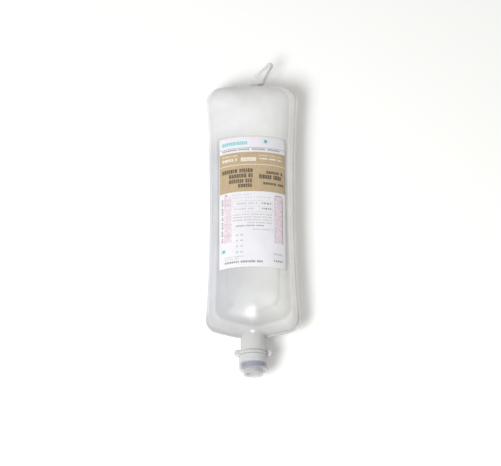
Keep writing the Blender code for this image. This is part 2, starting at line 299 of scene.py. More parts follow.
def shell_plastic():
    """Milky see-through polyethylene, with the soft waves and cloudiness of a blown wall, and painted
    light and shade: a lighter right side, shade at the neck end and on the flash there, and a dark
    line along the bubble's edge.
    """
    material, tree, shader = new_material("clear_polyethylene")
    position = object_position(tree)
    x, y, z = axes_of(tree, position)
    from_seam = math_value(tree, "SUBTRACT", z, SEAM_HEIGHT)
    above_seam = math_value(tree, "ABSOLUTE", from_seam)
    clouds = noise_value(tree, position, 38, 3)

    # Denser at the strap end, at the neck and on the flanks; the flanks grow denser towards the right,
    # which paints light on the right flank, the side turned away from the key
    flank_and_painted_light = math_value(tree, "MULTIPLY", ranged(tree, above_seam, FLANK_SPAN, (0, 1)),
                       ranged(tree, x, FLANK_LIGHT_ACROSS, (0.28, 0.52)))
    upper = ranged(tree, y, UPPER_SPAN, (0, 0.30))
    neck = ranged(tree, y, NECK_SPAN, (0, 0.46))
    denser = math_value(tree, "MAXIMUM", math_value(tree, "MAXIMUM", flank_and_painted_light, upper), neck)
    density = ranged(tree, clouds, CLOUD_SPAN, (0.40, 0.48))
    tree.links.new(math_value(tree, "ADD", density, denser), shader.inputs["Alpha"])

    # Tones from left to right, painted lighter on the right where the key gives less light; then of
    # the strap end; painted shade at the neck end and on the flash there; and a painted line of shade
    # along the bubble's contour
    tone = mixed_colour(tree, ranged(tree, x, PAINTED_LIGHT_ACROSS, (0, 1)),
                        (0.66, 0.67, 0.71), (0.96, 0.96, 0.93))
    tone = mixed_colour(tree, ranged(tree, y, UPPER_SPAN, (0, 0.7)), tone, (0.90, 0.90, 0.91))
    # Painted shade darkens the neck end of the shell
    tone = mixed_colour(tree, ranged(tree, y, NECK_END_SHADE_SPAN, (0, 1)), tone, (0.525, 0.53, 0.53))
    # Painted shade on the flash near the neck end
    flash = math_value(tree, "MULTIPLY", ranged(tree, above_seam, FLASH_EDGE, (0, 0.8)),
                       ranged(tree, y, FLASH_SHADE_SPAN, (0, 1)))
    tone = mixed_colour(tree, flash, tone, (0.47, 0.47, 0.46))
    # A painted line of shade where the bubble's edge meets the wall, stronger to the right and towards
    # the neck end
    off_contour = math_value(tree, "ABSOLUTE", math_value(tree, "SUBTRACT", from_seam, BUBBLE_HEIGHT))
    contour_shade = math_value(tree, "MULTIPLY", ranged(tree, off_contour, CONTOUR_EDGE, (0, 0.30)),
                         ranged(tree, x, CONTOUR_ACROSS, (0.4, 1)))
    contour_shade = math_value(tree, "MULTIPLY", contour_shade, ranged(tree, y, CONTOUR_SPAN, (0.1, 1)))
    tone = mixed_colour(tree, contour_shade, tone, (0.45, 0.46, 0.47))
    tree.links.new(tone, shader.inputs["Base Color"])

    shader.inputs["Roughness"].default_value = 0.23
    shader.inputs["IOR"].default_value = 1.51
    grain = math_value(tree, "MULTIPLY", noise_value(tree, position, 420, 2), 0.03)
    waves = math_value(tree, "ADD", noise_value(tree, position, 26, 1), grain)
    add_bump(tree, shader, waves, 0.0012)
    return material


def strap_plastic():
    """Satin polyethylene, with painted shade on the strap's right strand, which makes it darker than
    the left one.
    """
    material, tree, shader = new_material("strap_polyethylene")
    position = object_position(tree)
    x, y, _ = axes_of(tree, position)
    clouds = noise_value(tree, position, 180, 3)
    tree.links.new(ranged(tree, clouds, CLOUD_SPAN, (0.74, 0.86)), shader.inputs["Alpha"])
    leaning = math_value(tree, "MULTIPLY", y, STRAP_SHADE_LEAN)
    offset = math_value(tree, "SUBTRACT", x, leaning)
    middle = STRAP_CENTRE - STRAP_SHADE_LEAN * STRAP_AXIS
    # Painted shade on the right strand, the side turned away from the key
    right = ranged(tree, offset, moved(STRAP_SHADE_SPAN, middle), (0, 1))
    tone = mixed_colour(tree, right, (0.74, 0.74, 0.78), (0.47, 0.47, 0.47))
    tone = mixed_colour(tree, ranged(tree, clouds, CLOUD_SPAN, (0, 0.12)), tone, (0.90, 0.90, 0.93))
    tree.links.new(tone, shader.inputs["Base Color"])
    shader.inputs["Roughness"].default_value = 0.38
    add_bump(tree, shader, noise_value(tree, position, 900, 2), 0.0001)
    return material


def cap_plastic():
    """Translucent cap moulding, with a fine satin from its mould."""
    material, tree, shader = new_material("cap_polyethylene")
    position = object_position(tree)
    _, y, z = axes_of(tree, position)
    clouds = noise_value(tree, position, 120, 3)

    # Denser over the spigot, in the mouth ring and low on the cap
    skirt = ranged(tree, y, moved(SKIRT_SPAN, CAP_END), (0, 0.34))
    mouth = ranged(tree, y, moved(MOUTH_SPAN, CAP_END), (0, 0.30))
    below = ranged(tree, z, moved(CAP_BELOW, SEAM_HEIGHT), (0, 0.26))
    thick = math_value(tree, "MAXIMUM", math_value(tree, "MAXIMUM", skirt, mouth), below)
    thin = ranged(tree, clouds, CLOUD_SPAN, (0.20, 0.26))
    tree.links.new(math_value(tree, "ADD", thin, thick), shader.inputs["Alpha"])

    # Tones of the skirt and the mouth ring, and a grey band for the rubber seen through the cap
    skirt_tone = mixed_colour(tree, clouds, (0.66, 0.66, 0.68), (0.72, 0.72, 0.74))
    mouth_tone = mixed_colour(tree, clouds, (0.52, 0.52, 0.51), (0.58, 0.58, 0.57))
    band = math_value(tree, "MULTIPLY", ranged(tree, y, moved(BAND_SPAN, CAP_END), (0, 1)),
                      ranged(tree, z, moved(BAND_ABOVE, SEAM_HEIGHT), (0, 1)))
    banded = mixed_colour(tree, band, skirt_tone, (0.57, 0.59, 0.66))
    on_mouth = ranged(tree, y, moved(MOUTH_TONE_SPAN, CAP_END), (0, 1))
    tree.links.new(mixed_colour(tree, on_mouth, banded, mouth_tone), shader.inputs["Base Color"])

    shader.inputs["Roughness"].default_value = 0.33
    add_bump(tree, shader, noise_value(tree, position, 1500, 2), 0.00006)
    return material


def rubber():
    """Dark grey rubber with a fine matt grain."""
    material, tree, shader = new_material("grey_rubber")
    position = object_position(tree)
    grain = noise_value(tree, position, 700, 4, 0.6)
    tree.links.new(mixed_colour(tree, grain, (0.07, 0.08, 0.12), (0.11, 0.12, 0.165)),
                   shader.inputs["Base Color"])
    tree.links.new(ranged(tree, grain, CLOUD_SPAN, (0.62, 0.78)), shader.inputs["Roughness"])
    add_bump(tree, shader, grain, 0.00008)
    return material


def saline():
    """Clear liquid, with the faintest unevenness of its surface and a painted rim of shade just under
    its level.
    """
    material, tree, shader = new_material("saline")
    position = object_position(tree)
    z = axes_of(tree, position)["Z"]
    shader.inputs["Transmission Weight"].default_value = 1.0
    shader.inputs["IOR"].default_value = 1.33
    shader.inputs["Roughness"].default_value = 0.0
    tint = noise_value(tree, position, 18, 1)
    water = mixed_colour(tree, tint, (0.955, 0.965, 0.970), (0.965, 0.970, 0.960))
    # Painted shade in a band just under the liquid's level
    level = SEAM_HEIGHT + FRONT_RISE - WALL - AIR_DEPTH
    rim = math_value(tree, "MULTIPLY",
                     ranged(tree, z, (level - 2 * MENISCUS, level - MENISCUS), (0, 0.6)),
                     ranged(tree, z, moved(LEVEL_SHADE_SPAN, level), (1, 0)))
    tree.links.new(mixed_colour(tree, rim, water, (0.62, 0.64, 0.65)), shader.inputs["Base Color"])
    add_bump(tree, shader, noise_value(tree, position, 30, 1), 0.0006)
    return material


def ink(name, dark, light, roughness=0.42, scale=500):
    """A printed colour with a slight mottle between two tones."""
    material, tree, shader = new_material(name)
    position = object_position(tree)
    mottle = noise_value(tree, position, scale, 3)
    tree.links.new(mixed_colour(tree, ranged(tree, mottle, MOTTLE_SPAN, (0, 1)), dark, light),
                   shader.inputs["Base Color"])
    tree.links.new(ranged(tree, mottle, CLOUD_SPAN, (roughness - 0.04, roughness + 0.04)),
                   shader.inputs["Roughness"])
    add_bump(tree, shader, mottle, 0.00001)
    return material


# Outline and surface of the body


def between(low, high, steps):
    return [low + (high - low) * i / steps for i in range(steps + 1)]


def half_width(y):
    """Half the body's width, drawn in at the waist."""
    share = abs(y - BODY_MIDDLE) / (BODY_LENGTH / 2)
    return WAIST_HALF_WIDTH + (CORNER_HALF_WIDTH - WAIST_HALF_WIDTH) * share**WAIST_POWER


def dip_at(x):
    """How far the strap end is drawn in at x by the dip."""
    return DIP_DEPTH * math.exp(-(((x - DIP_CENTRE) / DIP_WIDTH) ** 2))


def top_edge(x):
    """The strap end, gently crowned, with a shallow dip beside the strap."""
    return BODY_TOP - TOP_CROWN * (x / CORNER_HALF_WIDTH) ** 2 - dip_at(x)


def bottom_edge(x):
    """The neck end, sloping to the neck like a shoulder."""
    soft = math.hypot(x, SHOULDER_SOFTNESS) - SHOULDER_SOFTNESS
    reach = CORNER_HALF_WIDTH - SHOULDER_SOFTNESS
    return NECK_ROOT + SHOULDER_DROP * (soft / reach) ** SHOULDER_POWER


def sheared_corner(edge, across, along, radius):
    """The rounded corner from the sloping end edge to the side, without its two ends."""
    y_start = edge(across * (CORNER_HALF_WIDTH - radius))
    side = half_width(y_start - along * radius)
    centre_x = across * side - across * radius
    centre_y = y_start - along * radius
    return [
        (centre_x + across * radius * math.cos(a), centre_y + along * radius * math.sin(a))
        for a in between(math.pi / 2, 0, CORNER_STEPS)[1:-1]
    ]


def half_outline(across):
    """One side of the outline, from the middle of the top to the middle of the bottom."""
    top_run = between(0, CORNER_HALF_WIDTH - TOP_CORNER_RADIUS, TOP_STEPS)
    bottom_run = between(CORNER_HALF_WIDTH - BOTTOM_CORNER_RADIUS, 0, SHOULDER_STEPS)
    top = [(across * x, top_edge(across * x)) for x in top_run]
    bottom = [(across * x, bottom_edge(x)) for x in bottom_run]
    side_top = top[-1][1] - TOP_CORNER_RADIUS
    side_bottom = bottom[0][1] + BOTTOM_CORNER_RADIUS
    side = [(across * half_width(y), y) for y in between(side_top, side_bottom, SIDE_STEPS)]
    upper = sheared_corner(top_edge, across, 1, TOP_CORNER_RADIUS)
    lower = sheared_corner(bottom_edge, across, -1, BOTTOM_CORNER_RADIUS)
    return top + upper + side + lower[::-1] + bottom


def body_outline():
    """The whole outline, closed, going round from the middle of the top by the +X side."""
    right = half_outline(1)
    left = half_outline(-1)
    return right + left[::-1][1:-1]


def offset_outline(points, inward):
    """The outline moved in by a distance, or out where it is negative."""
    moved = []
    for i, (x, y) in enumerate(points):
        before = points[i - 1]
        after = points[(i + 1) % len(points)]
        run = (after[0] - before[0], after[1] - before[1])
        length = math.hypot(*run)
        moved.append((x + inward * run[1] / length, y - inward * run[0] / length))
    return moved


def rise_at(angle, rise):
    """Height above the parting plane and plan share left, at an angle round the section."""
    power = 2 / SECTION_POWER
    return rise * math.sin(angle) ** power, max(math.cos(angle), 0) ** power


def across_scale(y, share):
    """How far a ring is drawn in across, so that the ends are domed."""
    reach = min(abs(y - BODY_MIDDLE) / (END_ROUNDING * BODY_LENGTH / 2), 1)
    oval = (1 - reach**END_ROUNDING_POWER) ** (1 / END_ROUNDING_POWER)
    return share * (share + (1 - share) * oval)


def along_scale(share):
    """How far a ring is drawn in along."""
    return 1 - END_TAPER * (1 - share)


def front_height(x, y, rise):
    """Height of the front wall above the parting plane over a point of the plan."""
    low, high = 0, 1
    for _ in range(HEIGHT_HALVINGS):
        share = (low + high) / 2
        outline_y = BODY_MIDDLE + (y - BODY_MIDDLE) / along_scale(share)
        reached = half_width(outline_y) * across_scale(outline_y, share)
        low, high = (share, high) if reached < abs(x) else (low, share)
    return rise * (1 - share**SECTION_POWER) ** (1 / SECTION_POWER)


def ring_points(outline, share, height, sign, inset):
    """One ring of a half, with the dip fading out towards the middle of the front or back."""
    along = along_scale(share)
    fade = 1 - share**DIP_FADE_POWER
    filled = [(x, y + fade * dip_at(x) if y > BODY_MIDDLE else y) for x, y in outline]
    plan = [(x * across_scale(y, share), BODY_MIDDLE + (y - BODY_MIDDLE) * along)
            for x, y in filled]
    return [(x, y, SEAM_HEIGHT + sign * swollen(x, y, height, inset)) for x, y in plan]


def swollen(x, y, height, inset):
    """Height of a half over (x, y), swollen where the shoulder runs into the neck."""
    reach = max((y - NECK_ROOT) / SWELL_LENGTH, 0)
    if reach >= 1 or height <= 0:
        return height
    crest = (SWELL_SHARE * NECK_RADIUS - inset) * min(1, height / SWELL_START)
    swell = crest * math.exp(-((x / SWELL_WIDTH) ** 2)) * (1 - reach**2) ** 2
    return (height**SWELL_POWER + swell**SWELL_POWER) ** (1 / SWELL_POWER)


def flat_angle(rise, height):
    """The angle round the section at which it reaches a height."""
    return math.asin(min(height / rise, 1) ** (SECTION_POWER / 2))


def half_rings(outline, rise, height, sign, inset):
    """Rings from the parting plane to where one half of the pillow is cut flat."""
    stop = flat_angle(rise, height)
    last = math.radians(LAST_RING_DEGREES)
    angles = [a for a in between(0, last, RING_STEPS) if a < stop * NEAREST_RING]
    rings = []
    for angle in [*angles, min(stop, last)]:
        rise_here, share = rise_at(angle, rise)
        rings.append(ring_points(outline, share, rise_here, sign, inset))
    return rings


# Mesh building


def new_object(name, shape, material=None, sharp=35):
    """Turns a bmesh into a scene object with outward normals."""
    bmesh.ops.recalc_face_normals(shape, faces=shape.faces)
    mesh = bpy.data.meshes.new(name)
    shape.to_mesh(mesh)
    shape.free()
    mesh.shade_smooth()
    mesh.set_sharp_from_angle(angle=math.radians(sharp))
    if material:
        mesh.materials.append(material)
    made = bpy.data.objects.new(name, mesh)
    bpy.context.collection.objects.link(made)
    return made


def loft(name, rings, material=None):
    """Closed rings joined in turn, with flat ends."""
    shape = bmesh.new()
    loops = [[shape.verts.new(point) for point in ring] for ring in rings]
    count = len(loops[0])
    for upper, lower in zip(loops, loops[1:]):
        for i in range(count):
            j = (i + 1) % count
            shape.faces.new((upper[i], upper[j], lower[j], lower[i]))
    shape.faces.new(loops[0])
    shape.faces.new(loops[-1])
    return new_object(name, shape, material)


def pillow_rings(inset, front_level):
    """Rings of the flat oval form inset from the body's surface, from front_level to the back."""
    outline = offset_outline(body_outline(), inset)
    front = half_rings(outline, FRONT_RISE - inset, front_level, 1, inset)
    back = half_rings(outline, BACK_RISE - inset, SEAM_HEIGHT - inset, -1, inset)
    return front[::-1] + back[1:]


def pillow(name, inset, front_level, material=None):
    return loft(name, pillow_rings(inset, front_level), material)


def plate(name, outline, thickness):
    """A flat plate of an outline, half its thickness either side of the parting plane."""
    low, high = SEAM_HEIGHT - thickness / 2, SEAM_HEIGHT + thickness / 2
    rings = [[(x, y, z) for x, y in outline] for z in (high, low)]
    return loft(name, rings)


def turned(name, profile, material=None):
    """A solid turned about the neck's axis from (radius, y) pairs."""
    shape = bmesh.new()
    points = [shape.verts.new((radius, y, SEAM_HEIGHT)) for radius, y in profile]
    edges = [shape.edges.new(pair) for pair in zip(points, points[1:])]
    if profile[0][0] > 0:
        edges.append(shape.edges.new((points[-1], points[0])))
    bmesh.ops.spin(shape, geom=points + edges, cent=(0, 0, SEAM_HEIGHT), axis=(0, 1, 0),
                   angle=math.tau, steps=TURNED_SEGMENTS)
    bmesh.ops.remove_doubles(shape, verts=shape.verts, dist=1e-6)
    return new_object(name, shape, material)


def applied(target):
    """Fixes the modifiers of target into its mesh."""
    graph = bpy.context.evaluated_depsgraph_get()
    mesh = bpy.data.meshes.new_from_object(target.evaluated_get(graph))
    target.modifiers.clear()
    target.data = mesh
    return target


def combine(target, helper, operation):
    """Joins or cuts target with a helper, which is then removed."""
    modifier = target.modifiers.new(helper.name, "BOOLEAN")
    modifier.operation = operation
    modifier.solver = "EXACT"
    modifier.object = helper
    applied(target)
    bpy.data.objects.remove(helper)


def smooth_again(target, degrees=32):
    """Smooth shading but for edges sharper than an angle, which a cut or join has lost."""
    target.data.shade_smooth()
    target.data.set_sharp_from_angle(angle=math.radians(degrees))


def arc(centre, radius, start, end, steps):
    """(radius, y) pairs round a centre, for a turned profile."""
    return [(centre[0] + radius * math.cos(a), centre[1] + radius * math.sin(a))
            for a in between(math.radians(start), math.radians(end), steps)]


# The pieces


def root_flare(radius):
    """The arc by which a neck surface of this radius widens into the body."""
    centre = NECK_RADIUS + ROOT_RADIUS
    sweep = centre - radius
    return [
        (centre - sweep * math.cos(a), NECK_ROOT - ROOT_START + sweep * math.sin(a))
        for a in between(0, math.radians(ROOT_TURN_DEGREES), ARC_STEPS)
    ]


def buried_flare(radius, depth):
    """The flare and the end that closes it, depth beyond the neck's root."""
    flare = root_flare(radius)
    return [*flare, (flare[-1][0], NECK_ROOT + depth), (0, NECK_ROOT + depth)]


def neck_solid():
    """The neck with its flared root, support ring and the spigot that enters the cap."""
    support_top = SUPPORT_FACE + SUPPORT_LENGTH
    profile = [
        (0, SPIGOT_END),
        (SPIGOT_RADIUS, SPIGOT_END),
        (SPIGOT_RADIUS, SUPPORT_FACE),
        (SUPPORT_RADIUS, SUPPORT_FACE),
        (SUPPORT_RADIUS, support_top),
        (NECK_RADIUS, support_top + SUPPORT_RADIUS - NECK_RADIUS),
        *buried_flare(NECK_RADIUS, NECK_FORM_DEPTH),
    ]
    return turned("neck_form", profile)


def wing_plate():
    """The pair of grip wings, one rounded bar that crosses the neck in the parting plane."""
    radius = WING_LENGTH / 2
    middle = SUPPORT_FACE + radius
    tip = WING_HALF_SPAN - radius
    right = [(tip + radius * math.cos(a), middle + radius * math.sin(a))
             for a in between(math.pi / 2, -math.pi / 2, 2 * ARC_STEPS)]
    left = [(-x, y) for x, y in right[::-1]]
    wings = plate("wing_form", right + left, WING_THICKNESS)
    rounding = wings.modifiers.new("rounded_edges", "BEVEL")
    rounding.width = WING_THICKNESS / 4
    rounding.segments = 3
    rounding.limit_method = "ANGLE"
    rounding.angle_limit = math.radians(60)
    return applied(wings)


def blown_shell(material):
    """The blown shell: an oval body with flash and neck, hollowed through the neck."""
    shell = pillow("blown_shell", 0, FRONT_RISE, material)
    outline = offset_outline(body_outline(), -FLASH_WIDTH)
    combine(shell, plate("flash_form", outline, FLASH_THICKNESS), "UNION")
    combine(shell, neck_solid(), "UNION")
    combine(shell, wing_plate(), "UNION")
    combine(shell, pillow("cavity_form", WALL, FRONT_RISE - WALL), "DIFFERENCE")
    bore = NECK_RADIUS - NECK_WALL
    past_end = SPIGOT_END - WALL
    profile = [(0, past_end), (bore, past_end), *buried_flare(bore, BORE_DEPTH)]
    combine(shell, turned("bore_form", profile), "DIFFERENCE")
    smooth_again(shell)
    return shell


def saline_filling(material):
    """The filling, level under its air bubble, with a meniscus where it meets the wall."""
    rings = pillow_rings(WALL + GAP, FRONT_RISE - WALL - AIR_DEPTH)
    meniscus = []
    for angle in between(0, math.pi / 2, MENISCUS_STEPS)[1:]:
        inward = 1 - MENISCUS_RUN * MENISCUS * math.sin(angle) / WAIST_HALF_WIDTH
        drop = MENISCUS * (1 - math.cos(angle))
        meniscus.append([(x * inward, BODY_MIDDLE + (y - BODY_MIDDLE) * inward, z - drop)
                         for x, y, z in rings[0]])
    filling = loft("saline_filling", meniscus[::-1] + rings, material)
    radius = NECK_RADIUS - NECK_WALL - GAP
    end = RUBBER_TOP + GAP
    profile = [(0, end), (radius, end), *buried_flare(radius, BORE_DEPTH)]
    combine(filling, turned("neck_filling_form", profile), "UNION")
    smooth_again(filling, 40)
    return filling


def cap_moulding(material):
    """The cap: a skirt over the spigot, an end wall and the mouth ring round the port."""
    wall_face = CAP_END + CAP_END_WALL
    step = CAP_EDGE / 2
    profile = [
        (CAP_BORE, CAP_SEAT),
        *arc((CAP_RADIUS - step, CAP_SEAT - step), step, 90, 0, SMALL_ARC_STEPS),
        *arc((CAP_RADIUS - CAP_EDGE, CAP_END + CAP_EDGE), CAP_EDGE, 0, -90, CAP_ARC_STEPS),
        (MOUTH_RADIUS, CAP_END),
        *arc((MOUTH_RADIUS, MOUTH_END + MOUTH_LIP), MOUTH_LIP, 90, -90, CAP_ARC_STEPS),
        (PORT_RADIUS + MOUTH_LIP, MOUTH_END),
        (PORT_RADIUS, MOUTH_END + MOUTH_LIP),
        (PORT_RADIUS, wall_face),
        (CAP_BORE, wall_face),
    ]
    return turned("cap_moulding", profile, material)


def rubber_disc(material):
    """The rubber disc between the spigot and the cap's end wall."""
    radius = CAP_BORE - GAP
    edge = RUBBER_CHAMFER
    profile = [
        (0, RUBBER_FACE),
        *arc((radius - edge, RUBBER_FACE + edge), edge, -90, 0, CHAMFER_STEPS),
        *arc((radius - edge, RUBBER_TOP - edge), edge, 0, 90, CHAMFER_STEPS),
        (0, RUBBER_TOP),
    ]
    return turned("rubber_disc", profile, material)


def strap_path():
    """The strap's centre line, a closed loop that leans to +X from its root."""
    half_base = STRAP_BASE_WIDTH / 2
    half_tip = STRAP_TIP_WIDTH / 2
    corner = STRAP_WIDTH / 2
    tip_y = STRAP_REACH - half_tip

    def side(sign, share):
        drift = STRAP_LEAN * share**STRAP_LEAN_POWER
        spread = half_base + (half_tip - half_base) * share**STRAP_TAPER_POWER
        return sign * spread + drift, corner + (tip_y - corner) * share

    root = [(x, 0) for x in between(-half_base + corner, half_base - corner, STRAP_STEPS // 3)]
    right = [side(1, share) for share in between(0, 1, STRAP_STEPS)]
    left = [side(-1, share) for share in between(1, 0, STRAP_STEPS)]
    tip = [(STRAP_LEAN + half_tip * math.cos(a), tip_y + half_tip * math.sin(a))
           for a in between(0, math.pi, STRAP_STEPS)][1:-1]
    return root + right + tip + left


def strap_section():
    """Corners of the strap's rounded section as (outward, up) from its centre line."""
    half_up = STRAP_THICKNESS / 2
    radius = half_up * STRAP_ROUNDING
    centres = [(STRAP_WIDTH / 2 - radius, half_up - radius, 0),
               (-STRAP_WIDTH / 2 + radius, half_up - radius, 90),
               (-STRAP_WIDTH / 2 + radius, -half_up + radius, 180),
               (STRAP_WIDTH / 2 - radius, -half_up + radius, 270)]
    return [point for out, up, start in centres
            for point in arc((out, up), radius, start, start + 90, SMALL_ARC_STEPS)]


def hanging_strap(material):
    """The closed strap that hangs the container up, moulded in soft polyethylene."""
    path = strap_path()
    section = strap_section()
    shape = bmesh.new()
    stations = [[] for _ in path]
    for outward, up in section:
        for station, (x, y) in zip(stations, offset_outline(path, outward)):
            station.append(shape.verts.new((STRAP_CENTRE + x, STRAP_AXIS + y, SEAM_HEIGHT + up)))
    for i, here in enumerate(stations):
        after = stations[(i + 1) % len(stations)]
        for j in range(len(section)):
            k = (j + 1) % len(section)
            shape.faces.new((here[j], here[k], after[k], after[j]))
    return new_object("hanging_strap", shape, material, 50)


# The label and its print, laid out in millimetres from the label's top left corner


def front_point(across, down, lift):
    """A point over the label: millimetres from its left edge and its top edge."""
    x = across / 1000 - LABEL_HALF_WIDTH
    y = LABEL_TOP - down / 1000
    return x, y, SEAM_HEIGHT + GAP + front_height(x, y, FRONT_RISE) + lift


def patch(shape, left, top, width, height, low, high, slot=0):
    """A thin closed patch that follows the front, between two lifts, in one material slot."""
    columns = max(1, math.ceil(width / (LABEL_STEP * 1000)))
    rows = max(1, math.ceil(height / (2 * LABEL_STEP * 1000)))
    layers = []
    for lift in (low, high):
        layers.append([[shape.verts.new(front_point(x, y, lift))
                        for x in between(left, left + width, columns)]
                       for y in between(top, top + height, rows)])
    faces = []
    for layer in layers:
        for upper, lower in zip(layer, layer[1:]):
            faces += [(upper[i], upper[i + 1], lower[i + 1], lower[i]) for i in range(columns)]
    bottom, upper = layers
    rims = ([row[0] for row in bottom], [row[-1] for row in bottom], bottom[0], bottom[-1])
    lids = ([row[0] for row in upper], [row[-1] for row in upper], upper[0], upper[-1])
    for rim, lid in zip(rims, lids):
        faces += [(rim[i], rim[i + 1], lid[i + 1], lid[i]) for i in range(len(rim) - 1)]
    for corners in faces:
        shape.faces.new(corners).material_index = slot


def label_sheet(material):
    """The label, a thin sheet that follows the crown of the front."""
    shape = bmesh.new()
    patch(shape, 0, 0, 2000 * LABEL_HALF_WIDTH, 1000 * LABEL_LENGTH, 0, LABEL_THICKNESS)
    return new_object("label_sheet", shape, material, 60)


# How the print is laid on: its lift, the seed of its unevenness, the spread of its bars'
# lengths, the extra space between groups of bars and how many bars a group may lack
PRINT_LIFT = 0.00003
PRINT_SEED = 7
BAR_SPREAD = (0.6, 1.1)
GROUP_SPACE = 0.7
BARS_LACKING = 2
INKS = {
    "tan_ink": ((0.42, 0.318, 0.198), (0.462, 0.356, 0.224)),
    "cream_ink": ((0.62, 0.54, 0.41), (0.68, 0.60, 0.47)),
    "brown_ink": ((0.085, 0.062, 0.038), (0.14, 0.105, 0.065)),
    "pink_ink": ((0.62, 0.50, 0.56), (0.70, 0.64, 0.685)),
    "rose_ink": ((0.55, 0.42, 0.49), (0.62, 0.50, 0.57)),
    "grey_ink": ((0.25, 0.245, 0.26), (0.34, 0.335, 0.35)),
    "pale_grey_ink": ((0.44, 0.43, 0.46), (0.53, 0.52, 0.55)),
    "teal_ink": ((0.20, 0.50, 0.53), (0.28, 0.58, 0.61)),
    "pale_teal_ink": ((0.48, 0.65, 0.68), (0.55, 0.70, 0.73)),
    "deep_teal_ink": ((0.08, 0.25, 0.28), (0.12, 0.31, 0.34)),
    "white_ink": ((0.64, 0.59, 0.51), (0.72, 0.68, 0.60)),
}
INK_NAMES = list(INKS)


def label_print(materials):
    """All the print in one piece, of plain fields and of bars in rows and columns."""
    shape = bmesh.new()
    draw = random.Random(PRINT_SEED)

    def field(name, left, top, width, height, layer=0):
        base = LABEL_THICKNESS + layer * PRINT_LIFT
        patch(shape, left, top, width, height, base - PRINT_LIFT / 2, base + PRINT_LIFT,
              INK_NAMES.index(name))

    def bars(name, left, top, width, height, layer=0, pitch=1.5, gap=0.35, word=5):
        """A row of small bars in uneven groups."""
        x = left
        count = 0
        while x < left + width - pitch / 2:
            bar = min(pitch * draw.uniform(*BAR_SPREAD), left + width - x)
            field(name, x, top, bar, height, layer)
            x += bar + gap
            count += 1
            if count >= word:
                x += pitch * GROUP_SPACE
                count = draw.randint(0, BARS_LACKING)

    def column(name, left, top, width, height, pitch=1.3, gap=0.5, word=4):
        """A column of such bars, which runs along the label's edge."""
        y = top
        count = 0
        while y < top + height - pitch / 2:
            bar = min(pitch * draw.uniform(*BAR_SPREAD), top + height - y)
            field(name, left, y, width, bar)
            y += bar + gap
            count += 1
            if count >= word:
                y += pitch
                count = draw.randint(0, BARS_LACKING)

    full = 2000 * LABEL_HALF_WIDTH
    # The header: teal bars and a square, a rule and a row of small bars under it
    bars("teal_ink", 2.3, 4.2, 21.0, 3.2, pitch=2.0, gap=0.3, word=40)
    field("pale_teal_ink", 36.8, 2.2, 4.4, 4.6)
    field("deep_teal_ink", 38.0, 3.2, 2.0, 2.4, 1)
    field("grey_ink", 0.6, 10.1, full - 1.2, 0.45)
    for left, width in ((2.6, 12.9), (16.0, 9.2), (27.2, 12.0), (40.6, 9.8)):
        bars("grey_ink", left, 11.2, width, 1.3, pitch=1.2, gap=0.2, word=12)
    # The coloured field, with its dividing rule and pale bars
    field("tan_ink", 0.3, 14.2, full - 0.6, 36.0)
    field("cream_ink", 0.3, 25.3, full - 0.6, 0.8, 1)
    bars("cream_ink", 2.6, 16.6, 12.5, 1.2, 1, pitch=1.4)
    bars("white_ink", 2.6, 19.6, 13.0, 2.4, 1, pitch=1.7)
    bars("white_ink", 18.0, 19.2, 13.0, 3.6, 1, pitch=1.9, gap=0.15, word=20)
    bars("cream_ink", 33.5, 17.0, 19.0, 1.0, 1, pitch=1.4)
    bars("white_ink", 33.5, 19.6, 19.5, 1.5, 1, pitch=1.4, gap=0.2)
    # The main bars, which end flush in the left half and in the right half
    for left, top, height in ((3.6, 29.4, 3.4), (9.4, 34.0, 3.4), (9.4, 38.7, 3.4), (16.9, 43.3, 3.0)):
        bars("brown_ink", left - 1.2, top, 29.1 - left, height + 0.2, 1, pitch=1.9, gap=0.4, word=7)
    for left, top, height in ((39.4, 31.4, 2.4), (33.4, 34.8, 3.9), (36.8, 41.8, 2.0)):
        bars("brown_ink", left, top, 53.6 - left, height, 1, pitch=1.7, gap=0.3, word=6)
    # The lower part: tinted columns and a plain table
    field("pink_ink", 4.0, 53.6, 6.2, 41.5)
    field("pink_ink", 45.9, 54.0, 7.0, 41.8)
    field("rose_ink", 45.9, 54.0, 0.6, 41.8, 1)
    field("rose_ink", 51.9, 54.0, 0.9, 41.8, 1)
    field("grey_ink", 46.4, 52.8, 5.6, 0.9)
    field("grey_ink", 4.6, 51.8, 2.2, 1.2)
    column("grey_ink", 1.9, 55.5, 1.4, 40.0)
    for top in (56.0, 60.5, 78.0, 88.0):
        bars("rose_ink", 4.6, top, 5.0, 1.8, 1, pitch=1.6, gap=0.6)
    bars("pale_grey_ink", 10.6, 52.6, 17.0, 0.8, pitch=1.3, gap=0.6)
    bars("pale_grey_ink", 11.0, 55.2, 33.0, 0.7, pitch=1.3, gap=0.8)
    for top in (58.6, 63.6, 68.6):
        field("pale_grey_ink", 11.4, top, 33.0, 0.25)
    for left in (11.4, 22.0, 33.4, 44.2):
        field("pale_grey_ink", left, 58.6, 0.22, 10.2)
    bars("pale_grey_ink", 14.5, 60.4, 17.0, 1.5, pitch=1.5, gap=0.5)
    bars("grey_ink", 35.2, 60.2, 8.0, 1.6, pitch=1.8, gap=0.7)
    bars("pale_grey_ink", 12.4, 65.2, 17.0, 1.4, pitch=1.5, gap=0.7)
    bars("grey_ink", 35.2, 65.0, 8.2, 1.5, pitch=1.5, gap=0.6)
    for top, left in ((70.4, 11.2), (72.9, 11.2), (75.4, 11.2), (77.9, 23.0)):
        bars("pale_grey_ink", left, top, 44.0 - left, 1.2, pitch=1.3)
    bars("grey_ink", 13.6, 80.6, 23.5, 1.1, pitch=1.4)
    bars("pale_grey_ink", 28.0, 84.0, 16.4, 1.0, pitch=1.3)
    for top in (88.6, 93.4, 98.4, 103.6):
        field("pale_grey_ink", 13.9, top, 1.7, 1.5)
        field("pale_grey_ink", 17.3, top, 2.5, 1.2)
